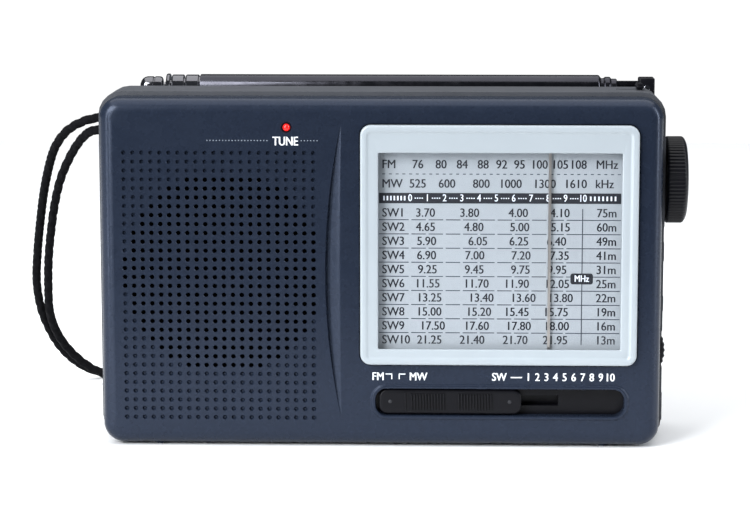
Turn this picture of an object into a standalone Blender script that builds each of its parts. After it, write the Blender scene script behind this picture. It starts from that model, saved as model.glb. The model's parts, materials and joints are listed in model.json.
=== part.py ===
"""Pocket world-band radio receiver, as an assembly of separate parts.

Frame: +Z up, the dial faces -Y, the origin is on the table under the middle of the case.
Every length in this file is in millimetres; the helpers turn it into metres.
"""
import math

import bmesh
import bpy
from mathutils import Matrix, Vector

MM = 0.001
GAP = 0.3                      # clearance between neighbouring pieces

# Case
FRONT_HALF = 59.0              # half width of the front shell
REAR_HALF = 59.9               # half width of the rear shell
FRONT_Y, PARTING_Y, REAR_Y = -14.0, -6.0, 14.0
FRONT_LOW, FRONT_TOP = 0.4, 74.0
REAR_TOP = 74.8
FRONT_WALL, REAR_WALL = 2.0, 1.8
FRONT_CORNER, REAR_CORNER = 4.3, 5.0
CAVITY_CORNER = 2.8            # inner corners of the front shell
FRONT_ROUND, REAR_ROUND = 3.0, 2.2                        # rims of the dial face and of the back
FOOT_X = 47.0

# Dial window
BEZEL_LOW, BEZEL_HIGH = (-4.2, 17.95), (53.85, 68.6)      # outer corners, x and z
WINDOW_LOW, WINDOW_HIGH = (-0.45, 21.3), (50.4, 62.8)
BEZEL_FRONT, BEZEL_BACK = -15.2, -13.4
LENS_Y = (-14.2, -13.7)
NEEDLE_Y = (-13.2, -12.9)
PLATE_Y = (-12.5, -11.9)

# Tuning drive: the knob's shaft hauls a cord, which turns the drum and carries the pointer
TUNE_Y, TUNE_Z = 0.0, 55.7
KNOB_R, KNOB_X = 9.25, (60.3, 64.7)
BOSS_R, BOSS_END = 11.0, 60.0                              # round boss behind the knob
SHAFT_R = 2.0
CORD_R = 0.3
WIND_R = SHAFT_R + CORD_R + GAP                            # cord centre line round shaft and guides
CORD_Y = TUNE_Y - WIND_R
CORD_X = 53.4                                              # the vertical run down to the drum
DRUM_GROOVE_R, DRUM_R = 11.24, 12.4
DRUM_WIND_R = DRUM_GROOVE_R + CORD_R + GAP
DRUM_X, DRUM_Z = CORD_X - DRUM_WIND_R, 40.5
TURN_PITCH = 0.9                                           # side step of the cord at each turn
SHAFT_TURNS = 2
GUIDE_Z = 65.2
GUIDE_LEFT_X = -1.0
GUIDE_RIGHT_X = CORD_X + SHAFT_TURNS * TURN_PITCH - WIND_R
POINTER_X = 35.4
RAIL_Y, RAIL_Z, RAIL_R = -7.0, 65.7, 0.6

# Band slider
SLOT_LOW, SLOT_HIGH = (-1.1, 6.9), (51.5, 12.8)
SLIDER_X = (-0.3, 29.8)
SLIDER_Z = (7.2, 12.5)
SLIDER_Y = (-13.8, -12.1)
BAND_TRAVEL = 21.1
STEM_HALF = 1.5

# Sound
SPEAKER_X, SPEAKER_Z, SPEAKER_R = -33.24, 37.6, 22.5

# Power
CELL_R, CELL_LENGTH = 7.25, 50.5
CELL_Y, CELL_Z = 4.85, 9.85
BAY_X, BAY_Z = (-57.7, 47.0), (2.3, 17.5)
BAY_FRONT = -2.7
COVER_Y = (12.45, 13.95)

# Controls on the side and top
WHEEL_R, WHEEL_X, WHEEL_Z = 8.0, 52.4, 20.0
WHEEL_Y = (-7.7, -4.9)
SWITCH_X = (54.0, 55.6)
SWITCH_TRAVEL = 3.8
SWITCH_STEM = (1.2, 2.8)                                   # y span of the slot for its stem
SCREW_PLACES = ((-52.0, 62.0), (47.0, 62.0), (-52.0, 24.0), (52.0, 24.0))
JACK_Y, JACK_Z = 5.0, (50.0, 39.0)
SIDE_PADS = ((38.3, 42.4), (27.4, 30.8), (3.6, 9.7))       # low and high ends up the right side
LED_X, LED_Z = -19.6, 68.0

# Rod antenna on the ledge along the rear top edge
LEDGE_Y, LEDGE_Z = 8.2, 71.4
ROD_Y, ROD_Z = 11.4, 74.4
PIVOT_X = 57.0
BARREL_X = (-39.8, 45.9)

# Wrist strap
STRAP_R = 0.8
STRAP_Y, STRAP_Z = 6.0, (68.2, 65.6)                       # the two strands leave one above the other

for old in list(bpy.data.objects):
    bpy.data.objects.remove(old, do_unlink=True)

PARTS = bpy.data.collections.new("world_band_radio")
CUTTERS = bpy.data.collections.new("cutters")
bpy.context.scene.collection.children.link(PARTS)
bpy.context.scene.collection.children.link(CUTTERS)

# slot: colour, roughness, metallic
FINISHES = {
    "navy_shell": ((0.026, 0.036, 0.060), 0.42, 0.1),
    "charcoal_shell": ((0.080, 0.082, 0.092), 0.55, 0.0),
    "black_plastic": ((0.006, 0.006, 0.008), 0.45, 0.0),
    "silver_frame": ((0.72, 0.77, 0.80), 0.30, 0.0),
    "clear_lens": ((0.95, 0.97, 1.0), 0.05, 0.0),
    "dial_print": ((0.55, 0.58, 0.60), 0.50, 0.0),
    "chrome": ((0.55, 0.56, 0.58), 0.12, 1.0),
    "dark_chrome": ((0.09, 0.09, 0.10), 0.18, 1.0),
    "steel": ((0.50, 0.50, 0.50), 0.30, 1.0),
    "needle": ((0.16, 0.09, 0.06), 0.35, 0.6),
    "white_plastic": ((0.80, 0.80, 0.76), 0.45, 0.0),
    "cord": ((0.75, 0.70, 0.58), 0.80, 0.0),
    "board": ((0.02, 0.16, 0.06), 0.40, 0.0),
    "ferrite": ((0.03, 0.03, 0.03), 0.60, 0.0),
    "copper": ((0.70, 0.30, 0.12), 0.30, 1.0),
    "paper_cone": ((0.02, 0.02, 0.02), 0.90, 0.0),
    "cell_jacket": ((0.10, 0.30, 0.16), 0.35, 0.2),
    "red_led": ((0.70, 0.02, 0.02), 0.20, 0.0),
    "strap_braid": ((0.008, 0.008, 0.010), 0.85, 0.0),
}


# ---------------------------------------------------------------- helpers

def point(x, y, z):
    """A point in millimetres, as a vector in metres."""
    return Vector((x, y, z)) * MM


def finish(obj, slot):
    """Give a part its own Principled material."""
    colour, roughness, metallic = FINISHES[slot]
    material = bpy.data.materials.new(f"{obj.name}_{slot}")
    material.use_nodes = True
    shader = material.node_tree.nodes["Principled BSDF"]
    shader.inputs["Base Color"].default_value = (*colour, 1.0)
    shader.inputs["Roughness"].default_value = roughness
    shader.inputs["Metallic"].default_value = metallic
    material.diffuse_color = (*colour, 1.0)
    obj.data.materials.append(material)


def add_object(name, data, slot):
    """Link a new object: a part when it has a slot, a cutter when it hasn't."""
    obj = bpy.data.objects.new(name, data)
    if slot is None:
        CUTTERS.objects.link(obj)
        obj.hide_render = True
        obj.display_type = "WIRE"
    else:
        PARTS.objects.link(obj)
        finish(obj, slot)
    return obj


def mesh_from(bm, name, smooth=False):
    """Close a bmesh into mesh data, smooth with crisp corners where asked."""
    mesh = bpy.data.meshes.new(name)
    bm.to_mesh(mesh)
    bm.free()
    if smooth:
        mesh.shade_smooth()
        mesh.set_sharp_from_angle(angle=math.radians(35))
    return mesh


def block(name, low, high, slot=None, corner=0.0, axis="y", edge=0.0, edge_side=-1, segments=5):
    """A box between two corners, its edges along one axis rounded, then the rim at one end."""
    low, high = point(*low), point(*high)
    bm = bmesh.new()
    bmesh.ops.create_cube(bm, size=1.0)
    bmesh.ops.scale(bm, vec=high - low, verts=bm.verts)
    bmesh.ops.translate(bm, vec=(high + low) / 2, verts=bm.verts)
    along = "xyz".index(axis)
    if corner:
        edges = [e for e in bm.edges if abs((e.verts[0].co - e.verts[1].co)[along]) > 1e-7]
        bmesh.ops.bevel(bm, geom=edges, offset=corner * MM, segments=segments, profile=0.5,
                        affect="EDGES")
    if edge:
        end = low[along] if edge_side < 0 else high[along]
        rim = [e for e in bm.edges if all(abs(v.co[along] - end) < 1e-7 for v in e.verts)]
        bmesh.ops.bevel(bm, geom=rim, offset=edge * MM, segments=3, profile=0.5, affect="EDGES")
    return add_object(name, mesh_from(bm, name, smooth=bool(corner or edge)), slot)


TURN = {
    "x": Matrix.Rotation(math.pi / 2, 4, "Y"),
    "y": Matrix.Rotation(-math.pi / 2, 4, "X"),
    "z": Matrix.Identity(4),
}


def rod(name, centre, axis, radius, start, end, slot=None, sides=16):
    """A cylinder along an axis through centre, from start to end on that axis."""
    bm = bmesh.new()
    bmesh.ops.create_cone(bm, cap_ends=True, segments=sides, radius1=radius * MM,
                          radius2=radius * MM, depth=(end - start) * MM, matrix=TURN[axis])
    middle = list(centre)
    middle["xyz".index(axis)] = (start + end) / 2
    bmesh.ops.translate(bm, vec=point(*middle), verts=bm.verts)
    return add_object(name, mesh_from(bm, name, smooth=True), slot)


def turned(name, centre, axis, profile, slot=None, steps=20, hollow=False):
    """A turned piece: (radius, position along the axis) points, listed down the outer side."""
    bm = bmesh.new()
    verts = [bm.verts.new((radius * MM, 0.0, along * MM)) for radius, along in profile]
    for first, second in zip(verts, verts[1:]):
        bm.edges.new((first, second))
    if hollow:
        bm.edges.new((verts[-1], verts[0]))
    obj = add_object(name, mesh_from(bm, name), slot)
    centre = list(centre)
    centre["xyz".index(axis)] = 0.0
    obj.matrix_world = Matrix.Translation(point(*centre)) @ TURN[axis]
    screw = obj.modifiers.new("turn", "SCREW")
    screw.axis = "Z"
    screw.steps = screw.render_steps = steps
    screw.use_merge_vertices = True
    screw.merge_threshold = 1e-6
    screw.use_smooth_shade = True
    return obj


def tube(name, route, radius, slot, cyclic=False):
    """A round wire along a list of points in millimetres."""
    curve = bpy.data.curves.new(name, "CURVE")
    curve.dimensions = "3D"
    curve.bevel_depth = radius * MM
    curve.bevel_resolution = 2
    curve.use_fill_caps = not cyclic
    spline = curve.splines.new("POLY")
    spline.points.add(len(route) - 1)
    for target, source in zip(spline.points, route):
        target.co = (*point(*source), 1.0)
    spline.use_cyclic_u = cyclic
    return add_object(name, curve, slot)


def boolean(obj, others, operation):
    """Cut or join other solids into obj, one modifier each."""
    for other in others:
        modifier = obj.modifiers.new(f"{operation.lower()}_{other.name}", "BOOLEAN")
        modifier.operation = operation
        modifier.solver = "EXACT"
        modifier.object = other


def cut(obj, *cutters):
    boolean(obj, cutters, "DIFFERENCE")


def join(obj, *additions):
    boolean(obj, additions, "UNION")


def smooth_route(anchors, count):
    """Evenly spaced points on a Catmull-Rom curve through the anchors."""
    padded = [anchors[0] * 2 - anchors[1], *anchors, anchors[-1] * 2 - anchors[-2]]
    fine = []
    for a, b, c, d in zip(padded, padded[1:], padded[2:], padded[3:]):
        for step in range(16):
            t = step / 16
            fine.append(0.5 * (2 * b + (c - a) * t + (2 * a - 5 * b + 4 * c - d) * t ** 2
                               + (3 * b - a - 3 * c + d) * t ** 3))
    fine.append(anchors[-1])
    reach = [0.0]
    for first, second in zip(fine, fine[1:]):
        reach.append(reach[-1] + (second - first).length)
    points, index = [], 0
    for number in range(count):
        wanted = reach[-1] * number / (count - 1)
        while index < len(fine) - 2 and reach[index + 1] < wanted:
            index += 1
        share = (wanted - reach[index]) / (reach[index + 1] - reach[index])
        points.append(fine[index].lerp(fine[index + 1], min(share, 1.0)))
    return points


# ---------------------------------------------------------------- case

def front_shell():
    """Shallow front shell: dial opening, slider slot, crescent groove and two feet."""
    shell = block("front_shell", (-FRONT_HALF, FRONT_Y, FRONT_LOW),
                  (FRONT_HALF, PARTING_Y - GAP, FRONT_TOP), "navy_shell",
                  corner=FRONT_CORNER, edge=FRONT_ROUND, segments=6)
    inner = FRONT_HALF - FRONT_WALL
    back = FRONT_Y + FRONT_WALL
    feet = [block(f"foot_{side}", (side * FOOT_X - 0.7, -11.5, 0.0),
                  (side * FOOT_X + 0.7, -8.5, 1.4)) for side in (-1, 1)]
    slot_rim = block("slot_rim", (-1.9, FRONT_Y - 0.35, 6.2), (52.3, FRONT_Y + 1.0, 13.5), corner=3.2)
    join(shell, *feet, slot_rim)
    cut(shell,
        block("front_cavity", (-inner, back, FRONT_LOW + FRONT_WALL),
              (inner, 0.0, FRONT_TOP - FRONT_WALL), corner=CAVITY_CORNER),
        block("bezel_pocket", (BEZEL_LOW[0] - GAP, -16.0, BEZEL_LOW[1] - GAP),
              (BEZEL_HIGH[0] + GAP, BEZEL_BACK + GAP, BEZEL_HIGH[1] + GAP), corner=2.5),
        block("dial_opening", (-3.3, -15.0, 18.9), (52.95, -11.0, 67.7)),
        block("slider_slot", (SLOT_LOW[0], -15.0, SLOT_LOW[1]), (SLOT_HIGH[0], -11.0, SLOT_HIGH[1]),
              corner=2.4, segments=4),
        rod("led_hole", (LED_X, 0, LED_Z), "y", 1.05, -15.0, -11.0, sides=12),
        crescent_cutter(),
        rod("wheel_slot_front", (WHEEL_X, 0, WHEEL_Z), "y", WHEEL_R + 0.5, WHEEL_Y[0] - 0.4, 0.0,
            sides=20))
    return shell


def crescent_cutter():
    """Groove between grille and dial: an arc on its deep side, fading to nothing on the other."""
    fade_x, deepest_x, half_height, mid_z = -8.2, -11.7, 31.4, 37.5
    sagitta = fade_x - deepest_x
    radius = (half_height ** 2 + sagitta ** 2) / (2 * sagitta)
    spread = math.asin(half_height / radius)
    outline = []
    for number in range(13):
        angle = spread * (2 * number / 12 - 1)
        outline.append((deepest_x + radius * (1 - math.cos(angle)), mid_z + radius * math.sin(angle)))
    bm = bmesh.new()
    floor = [bm.verts.new(point(x, FRONT_Y + 0.2 * (fade_x - x), z)) for x, z in outline]
    face = bm.faces.new(floor)
    lifted = bmesh.ops.extrude_face_region(bm, geom=[face])
    for vert in (v for v in lifted["geom"] if isinstance(v, bmesh.types.BMVert)):
        vert.co.y = (FRONT_Y - 2.0) * MM
    bmesh.ops.recalc_face_normals(bm, faces=bm.faces)
    return add_object("crescent_groove", mesh_from(bm, "crescent_groove"), None)


def rear_shell():
    """Deep rear shell with the battery tray, the antenna ledge and the side openings."""
    shell = block("rear_shell", (-REAR_HALF, PARTING_Y, 0.0), (REAR_HALF, REAR_Y, REAR_TOP),
                  "charcoal_shell", corner=REAR_CORNER, edge=REAR_ROUND, edge_side=1)
    inner = REAR_HALF - REAR_WALL
    tray_top, tray_front = BAY_Z[1] + 1.2, BAY_FRONT - 1.2
    rear_inside = REAR_Y - REAR_WALL
    boss = rod("knob_boss", (0, TUNE_Y, TUNE_Z), "x", BOSS_R, 58.5, BOSS_END, sides=28)
    pads = [block(f"side_pad_{number}", (59.0, -2.0, low), (REAR_HALF + 0.45, 6.0, high), corner=0.5,
                  segments=2, axis="x")
            for number, (low, high) in enumerate(SIDE_PADS)]
    trim = block("boss_trim", (50.0, -14.0, 40.0), (62.0, PARTING_Y, 70.0))
    join(shell, boss, *pads)
    cut(shell,
        trim,
        block("upper_cavity", (-inner, -7.0, tray_top), (inner, rear_inside, 69.8)),
        block("top_cavity", (-inner, -7.0, 60.0), (inner, LEDGE_Y - 1.5, REAR_TOP - 1.6), corner=3.0,
              segments=3),
        block("lower_cavity", (-inner, -7.0, 1.8), (inner, tray_front, 30.0)),
        block("corner_cavity", (BAY_X[1] + 1.2, -7.0, 1.8), (inner, rear_inside, 30.0)))
    join(shell, block("antenna_boss", (51.5, 5.5, 66.5), (REAR_HALF - 1.0, REAR_Y - 1.0, LEDGE_Z + 1.0)))
    cut(shell,
        block("battery_bay", (BAY_X[0], BAY_FRONT, BAY_Z[0]), (BAY_X[1], 16.0, BAY_Z[1])),
        block("antenna_ledge", (-62.0, LEDGE_Y, LEDGE_Z), (62.0, 16.0, 78.0)),
        rod("stud_hole", (PIVOT_X, ROD_Y, 0), "z", 1.5, 67.3, 73.0, sides=12),
        rod("shaft_hole", (0, TUNE_Y, TUNE_Z), "x", SHAFT_R + GAP, 50.0, 62.0),
        rod("wheel_slot_rear", (WHEEL_X, 0, WHEEL_Z), "y", WHEEL_R + 0.5, -8.0, WHEEL_Y[1] + 0.4,
            sides=20),
        block("switch_slot", (SWITCH_X[0] - SWITCH_TRAVEL - GAP, SWITCH_STEM[0], 72.0),
              (SWITCH_X[1] + GAP, SWITCH_STEM[1], 76.0)),
        *[rod(f"strap_hole_{number}", (0, STRAP_Y, z), "x", STRAP_R + GAP, -62.0, -56.0, sides=12)
          for number, z in enumerate(STRAP_Z)],
        *[rod(f"jack_hole_{number}", (0, JACK_Y, z), "x", 2.0, -62.0, -56.0, sides=12)
          for number, z in enumerate(JACK_Z)],
        *[rod(f"screw_well_{number}", (x, 0, z), "y", 2.5, REAR_Y - 1.3, 16.0, sides=12)
          for number, (x, z) in enumerate(SCREW_PLACES)],
        *[rod(f"screw_hole_{number}", (x, 0, z), "y", 1.5, 10.0, 15.0, sides=12)
          for number, (x, z) in enumerate(SCREW_PLACES)])
    return shell


def case_screws():
    for number, (x, z) in enumerate(SCREW_PLACES, 1):
        turned(f"case_screw_{number}", (x, 0, z), "y",
               [(0, REAR_Y - 0.1), (2.1, REAR_Y - 0.3), (2.1, REAR_Y - 1.0), (1.1, REAR_Y - 1.0),
                (1.1, 3.5), (0.4, 2.0), (0, 2.0)], "steel", steps=12)


def battery_cover():
    """Long snap-in cover over both cells, with thumb ridges at one end."""
    cover = block("battery_cover", (BAY_X[0] + GAP, COVER_Y[0], BAY_Z[0] + GAP),
                  (BAY_X[1] - GAP, COVER_Y[1], BAY_Z[1] - GAP), "charcoal_shell")
    join(cover, *[block(f"thumb_ridge_{number}", (x, COVER_Y[1] - 0.4, 5.5),
                        (x + 0.7, COVER_Y[1] + 0.4, 13.6))
                  for number, x in enumerate((34.0, 36.0, 38.0, 40.0))])


# ---------------------------------------------------------------- dial and tuning drive

def display_bezel():
    """Raised silver frame round the dial window."""
    bezel = block("display_bezel", (BEZEL_LOW[0], BEZEL_FRONT, BEZEL_LOW[1]),
                  (BEZEL_HIGH[0], BEZEL_BACK, BEZEL_HIGH[1]), "silver_frame",
                  corner=2.2, edge=0.6, segments=4)
    cut(bezel,
        block("bezel_face", (BEZEL_LOW[0] + 1.5, -16.0, BEZEL_LOW[1] + 1.5),
              (BEZEL_HIGH[0] - 1.5, BEZEL_FRONT + 0.35, BEZEL_HIGH[1] - 1.5), corner=1.0, segments=2),
        block("window", (WINDOW_LOW[0], -16.0, WINDOW_LOW[1]), (WINDOW_HIGH[0], -12.0, WINDOW_HIGH[1])),
        block("lens_rebate", (WINDOW_LOW[0] - 1.4, LENS_Y[0] - GAP, WINDOW_LOW[1] - 1.4),
              (WINDOW_HIGH[0] + 1.4, -12.0, WINDOW_HIGH[1] + 1.4)))


def dial_window():
    block("dial_lens", (WINDOW_LOW[0] - 1.1, LENS_Y[0], WINDOW_LOW[1] - 1.1),
          (WINDOW_HIGH[0] + 1.1, LENS_Y[1], WINDOW_HIGH[1] + 1.1), "clear_lens")
    block("dial_plate", (-2.9, PLATE_Y[0], 19.3), (52.5, PLATE_Y[1], 63.9), "dial_print")


def dial_pointer():
    """Thin needle in front of the plate, on a carriage that rides a rail behind it."""
    pointer = block("dial_pointer", (POINTER_X - 2.0, NEEDLE_Y[0], 64.4),
                    (POINTER_X + 2.0, CORD_Y + 0.5, 67.1), "needle")
    join(pointer, block("needle_blade", (POINTER_X - 0.28, NEEDLE_Y[0], 20.6),
                        (POINTER_X + 0.28, NEEDLE_Y[1], 65.5)))
    cut(pointer, rod("rail_bore", (0, RAIL_Y, RAIL_Z), "x", RAIL_R + GAP, 30.0, 40.0, sides=12),
        block("carriage_relief", (POINTER_X - 3.0, NEEDLE_Y[1], 66.2), (POINTER_X + 3.0, -10.0, 68.0)))
    rod("pointer_rail", (0, RAIL_Y, RAIL_Z), "x", RAIL_R, -2.0, 53.5, "steel", sides=10)


def tuning_knob():
    """Flat round knob on the right side, turned with a bore for its shaft."""
    inner, outer = KNOB_X
    turned("tuning_knob", (0, TUNE_Y, TUNE_Z), "x",
           [(0, outer + 0.3), (KNOB_R - 2.6, outer + 0.15), (KNOB_R - 0.8, outer - 0.2),
            (KNOB_R, outer - 0.9), (KNOB_R, inner), (SHAFT_R + GAP, inner),
            (SHAFT_R + GAP, inner + 3.0), (0, inner + 3.0)], "black_plastic", steps=36)
    rod("tuning_shaft", (0, TUNE_Y, TUNE_Z), "x", SHAFT_R, 50.5, inner + 2.6, "steel", sides=18)


def dial_drum():
    """Grooved drum on the capacitor's spindle."""
    middle, half, flange = CORD_Y, 1.4, 0.35
    turned("dial_drum", (DRUM_X, 0, DRUM_Z), "y",
           [(DRUM_R, middle + half), (DRUM_R, middle + half - flange),
            (DRUM_GROOVE_R, middle + half - flange), (DRUM_GROOVE_R, middle - half + flange),
            (DRUM_R, middle - half + flange), (DRUM_R, middle - half), (3.4, middle - half),
            (3.4, middle + half)], "white_plastic", steps=28, hollow=True)
    rod("capacitor_spindle", (DRUM_X, 0, DRUM_Z), "y", 3.0, middle - half, 1.0, "steel")
    turned("drum_screw", (DRUM_X, 0, DRUM_Z), "y",
           [(0, middle - half - 0.3), (4.4, middle - half - 0.3), (4.4, middle - half - 1.0),
            (3.4, middle - half - 1.3), (0, middle - half - 1.3)], "steel", steps=14)


def cord_route():
    """Closed loop of the dial cord: drum, left guide, right guide, shaft turns and back."""
    def arc(centre, radius, start, stop, steps, depth=0.0):
        turn = [(start + (stop - start) * n / steps, depth * (n / steps - 0.5)) for n in range(steps + 1)]
        return [(centre[0] + radius * math.cos(a), CORD_Y + d, centre[1] + radius * math.sin(a))
                for a, d in turn]

    # the run from the drum to the left guide touches both circles on their lower left side
    run_x, run_z = GUIDE_LEFT_X - DRUM_X, GUIDE_Z - DRUM_Z
    run_angle = math.atan2(run_z, run_x)
    tilt = math.acos((DRUM_WIND_R - WIND_R) / math.hypot(run_x, run_z))
    leave = run_angle + tilt - 2 * math.pi
    route = arc((DRUM_X, DRUM_Z), DRUM_WIND_R, 0.0, leave - 2 * math.pi, 30, depth=TURN_PITCH)
    route += arc((GUIDE_LEFT_X, GUIDE_Z), WIND_R, leave + 2 * math.pi, math.pi / 2, 5)
    route += arc((GUIDE_RIGHT_X, GUIDE_Z), WIND_R, math.pi / 2, 0.0, 4)
    steps = 10 * SHAFT_TURNS
    top_x = GUIDE_RIGHT_X + WIND_R
    for number in range(steps + 1):
        angle = -2 * math.pi * SHAFT_TURNS * number / steps
        route.append((top_x - SHAFT_TURNS * TURN_PITCH * number / steps,
                      TUNE_Y - WIND_R * math.cos(angle), TUNE_Z + WIND_R * math.sin(angle)))
    return route


def tuning_drive():
    tube("dial_cord", cord_route(), CORD_R, "cord", cyclic=True)
    for side, x in (("left", GUIDE_LEFT_X), ("right", GUIDE_RIGHT_X)):
        rod(f"cord_guide_{side}", (x, 0, GUIDE_Z), "y", SHAFT_R, CORD_Y - 1.6, -0.9, "white_plastic")
    block("tuning_capacitor", (DRUM_X - 10, 1.3, DRUM_Z - 10), (DRUM_X + 10, 11.3, DRUM_Z + 10),
          "white_plastic", corner=1.0, segments=1)


# ---------------------------------------------------------------- band switch

def band_switch():
    """Long slider on the front, its track, and the multi-way switch behind."""
    centre_x, centre_z = sum(SLIDER_X) / 2, sum(SLIDER_Z) / 2
    slider = block("band_slider", (SLIDER_X[0], SLIDER_Y[0], SLIDER_Z[0]),
                   (SLIDER_X[1], SLIDER_Y[1], SLIDER_Z[1]), "black_plastic", corner=1.8,
                   edge=0.3, segments=4)
    join(slider, block("slider_stem", (centre_x - STEM_HALF, SLIDER_Y[1] - 0.5, centre_z - 0.7),
                       (centre_x + STEM_HALF, -9.4, centre_z + 0.7)))
    stem_low = centre_x - STEM_HALF - GAP
    stem_high = centre_x + STEM_HALF + BAND_TRAVEL + GAP
    track = block("slider_track", (SLOT_LOW[0] - 1.0, -11.7, 5.3), (SLOT_HIGH[0] + 1.0, -10.9, 14.4),
                  "black_plastic")
    cut(track, block("track_slot", (stem_low, -13.0, centre_z - 1.1), (stem_high, -10.0, centre_z + 1.1)))
    body = block("band_switch_body", (-1.0, -10.6, 5.8), (50.0, -8.2, 13.9), "black_plastic")
    cut(body, block("switch_groove", (stem_low, -12.0, centre_z - 1.1), (stem_high, -9.0, centre_z + 1.1)))


# ---------------------------------------------------------------- sound

def speaker():
    centre = (SPEAKER_X, 0, SPEAKER_Z)
    turned("speaker_basket", centre, "y",
           [(12.0, -3.6), (20.9, -10.5), (SPEAKER_R, -10.5), (SPEAKER_R, -11.5), (20.4, -11.5),
            (20.4, -10.9), (11.6, -4.2), (6.6, -4.2), (6.6, -3.6)], "steel", steps=28, hollow=True)
    turned("speaker_cone", centre, "y",
           [(7.0, -5.0), (11.0, -5.4), (19.6, -11.3), (20.0, -11.7), (18.6, -11.7), (10.7, -6.0),
            (7.0, -5.6)], "paper_cone", steps=28, hollow=True)
    turned("speaker_dust_cap", centre, "y",
           [(0, -6.2), (6.4, -5.2), (6.4, -5.6), (4.0, -6.9), (0, -7.3)], "paper_cone", steps=16)
    turned("speaker_magnet", centre, "y",
           [(0, 3.6), (10.5, 3.6), (11.0, 3.1), (11.0, -2.8), (10.5, -3.3), (0, -3.3)], "ferrite",
           steps=24)


# ---------------------------------------------------------------- electronics

def electronics():
    board = block("main_circuit_board", (-9.0, -0.6, 19.5), (56.5, 1.0, 69.5), "board")
    cut(board,
        block("shaft_notch", (47.0, -2.0, 51.2), (60.0, 3.0, 60.2)),
        rod("spindle_hole", (DRUM_X, 0, DRUM_Z), "y", 3.6, -2.0, 3.0))
    rod("ferrite_rod", (0, 5.5, 65.2), "x", 3.5, -46.0, 41.0, "ferrite", sides=14)
    turned("aerial_coil", (0, 5.5, 65.2), "x",
           [(4.2, 34.0), (4.2, 16.0), (3.8, 16.0), (3.8, 34.0)], "copper", steps=16, hollow=True)
    for number, (x, z) in enumerate(((-7.0, 50.0), (2.5, 50.0), (12.0, 50.0), (21.5, 50.0)), 1):
        block(f"if_transformer_{number}", (x, 1.3, z), (x + 7.0, 9.5, z + 7.0), "steel",
              corner=0.6, segments=1)
    block("receiver_chip", (-4.0, 1.3, 37.0), (16.0, 4.3, 43.0), "black_plastic")
    for number, x in enumerate((-2.0, 9.0), 1):
        turned(f"filter_capacitor_{number}", (x, 0, 26.5), "y",
               [(0, 10.5), (3.5, 10.5), (4.0, 10.0), (4.0, 1.3), (0, 1.3)], "black_plastic", steps=14)
    turned("tuning_led", (LED_X, 0, LED_Z), "y",
           [(0, -11.2), (0.75, -11.2), (0.75, -14.0), (0.5, -14.35), (0, -14.5)], "red_led", steps=12)


def jacks():
    for name, z in zip(("earphone_jack", "dc_jack"), JACK_Z):
        turned(name, (0, JACK_Y, z), "x",
               [(0, -46.0), (3.0, -46.0), (3.0, -57.8), (1.75, -57.8), (1.75, -48.0), (0, -48.0)],
               "black_plastic", steps=16)


def volume_control():
    turned("volume_wheel", (WHEEL_X, 0, WHEEL_Z), "y",
           [(0, WHEEL_Y[1]), (WHEEL_R - 0.3, WHEEL_Y[1]), (WHEEL_R, WHEEL_Y[1] - 0.3),
            (WHEEL_R, WHEEL_Y[0] + 0.3), (WHEEL_R - 0.3, WHEEL_Y[0]), (0, WHEEL_Y[0])],
           "black_plastic", steps=32)
    rod("volume_pot", (WHEEL_X, 0, WHEEL_Z), "y", 3.9, WHEEL_Y[1] + GAP, -0.9, "steel", sides=16)


def power_switch():
    knob = block("power_switch_knob", (SWITCH_X[0], -0.8, REAR_TOP + GAP),
                 (SWITCH_X[1], 4.8, REAR_TOP + 1.3), "black_plastic")
    join(knob, block("switch_stem", (SWITCH_X[0] + 0.2, 1.5, 72.7),
                     (SWITCH_X[1] - 0.2, 2.5, REAR_TOP + 0.6)))
    block("power_switch_body", (48.5, 0.4, 70.0), (56.6, 3.6, 72.4), "steel")


def battery_set():
    """Two AA cells end to end, a coil spring on the left and a contact plate on the right."""
    right = 46.0
    for number in (1, 2):
        nub_end = right - (number - 1) * CELL_LENGTH
        shoulder, tail = nub_end - 1.0, nub_end - CELL_LENGTH + 0.3
        turned(f"battery_{number}", (0, CELL_Y, CELL_Z), "x",
               [(0, nub_end), (2.7, nub_end), (2.7, shoulder), (CELL_R - 0.4, shoulder),
                (CELL_R, shoulder - 0.4), (CELL_R, tail + 0.4), (CELL_R - 0.4, tail), (0, tail)],
               "cell_jacket", steps=24)
    block("battery_contact", (right + GAP, 0.5, 5.0), (BAY_X[1] - 0.2, 9.2, 14.0), "steel")
    turns, steps = 2.5, 10
    count = int(turns * steps) + 1
    start, end = BAY_X[0] + 0.6, right - 2 * CELL_LENGTH - 0.4
    coil = []
    for number in range(count):
        angle = 2 * math.pi * number / steps
        radius = 5.5 - 3.0 * number / (count - 1)
        coil.append((start + (end - start) * number / (count - 1), CELL_Y + radius * math.cos(angle),
                     CELL_Z + radius * math.sin(angle)))
    tube("battery_spring", coil, 0.3, "steel")


# ---------------------------------------------------------------- antenna

def antenna_base():
    """Swivel fork on the ledge, with a stud down into the case and a cross pin."""
    base = block("antenna_base", (PIVOT_X - 1.7, ROD_Y - 2.2, LEDGE_Z + GAP),
                 (PIVOT_X + 1.7, ROD_Y + 2.2, 76.6), "black_plastic", corner=0.7, axis="z", segments=2)
    join(base, rod("base_stud", (PIVOT_X, ROD_Y, 0), "z", 1.2, 67.7, LEDGE_Z + 1.0, sides=12))
    cut(base,
        block("fork_slot", (50.0, ROD_Y - 1.0, ROD_Z - 1.9), (62.0, ROD_Y + 1.0, 78.0)),
        rod("pin_hole", (PIVOT_X, 0, ROD_Z), "y", 1.0, 8.0, 15.0, sides=12))
    rod("antenna_pin", (PIVOT_X, 0, ROD_Z), "y", 0.7, ROD_Y - 2.0, ROD_Y + 2.0, "chrome", sides=12)


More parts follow.
